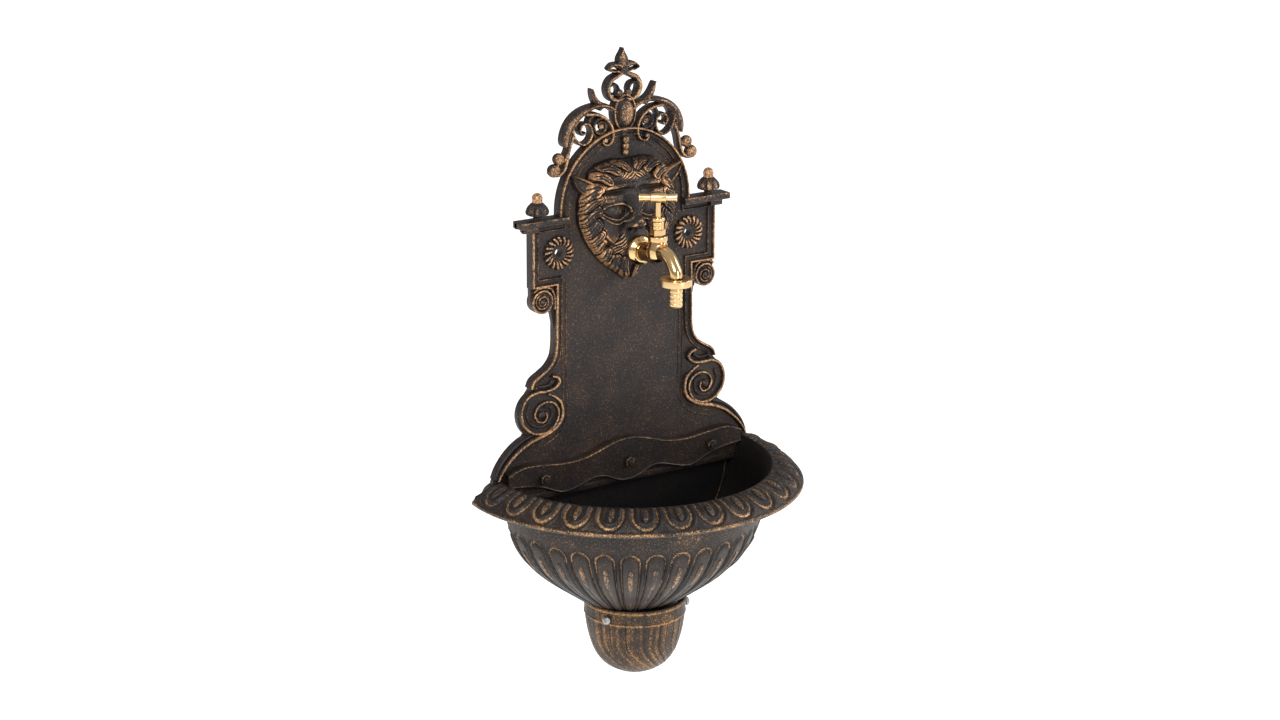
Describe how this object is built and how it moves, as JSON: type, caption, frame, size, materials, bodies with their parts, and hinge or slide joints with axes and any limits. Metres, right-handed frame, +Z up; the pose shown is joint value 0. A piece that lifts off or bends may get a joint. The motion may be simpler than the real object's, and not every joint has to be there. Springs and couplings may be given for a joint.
{
  "type": "wall fountain",
  "caption": "Arched cast-iron wall fountain with a lion mask and brass hose tap over a half-round fluted basin, its drain hidden by a cup-shaped cover.",
  "frame": {"origin": "on the flat back of the plaque, on its middle line, 110 mm below the line of the fixing holes", "axes": "+Z up the wall; +X to the right seen from the front; -Y out of the wall towards the viewer"},
  "size_m": [0.357, 0.2, 0.653],
  "materials": {
    "iron_plaque": "near-black antique paint with gold-bronze raised edges",
    "iron_basin": "near-black antique paint with gold-bronze raised edges",
    "iron_cover": "brown antique paint with gold-bronze rubbed over it",
    "bolts": "painted with the basin, edges rubbed bronze",
    "screws": "dull grey steel",
    "tap": "polished"
  },
  "bodies": {
    "fountain": {"plaque": "iron_plaque", "basin": "iron_basin", "drain_cover": "iron_cover", "flange_bolt_left": "bolts", "flange_bolt_middle": "bolts", "flange_bolt_right": "bolts", "cover_screw_left": "screws", "cover_screw_right": "screws", "tap_flange": "tap", "tap_body": "tap", "tap_bonnet": "tap", "tap_gland": "tap", "hose_union_nut": "tap", "hose_tail": "tap"},
    "tap_key": {"tap_spindle": "tap", "tap_handle": "tap"}
  },
  "joints": [
    {"name": "tap_turn", "type": "hinge", "parent": "fountain", "child": "tap_key", "pos_m": [0, -0.069, 0.1681], "axis": [0, 0, 1], "range_deg": [0, 810]}
  ]
}
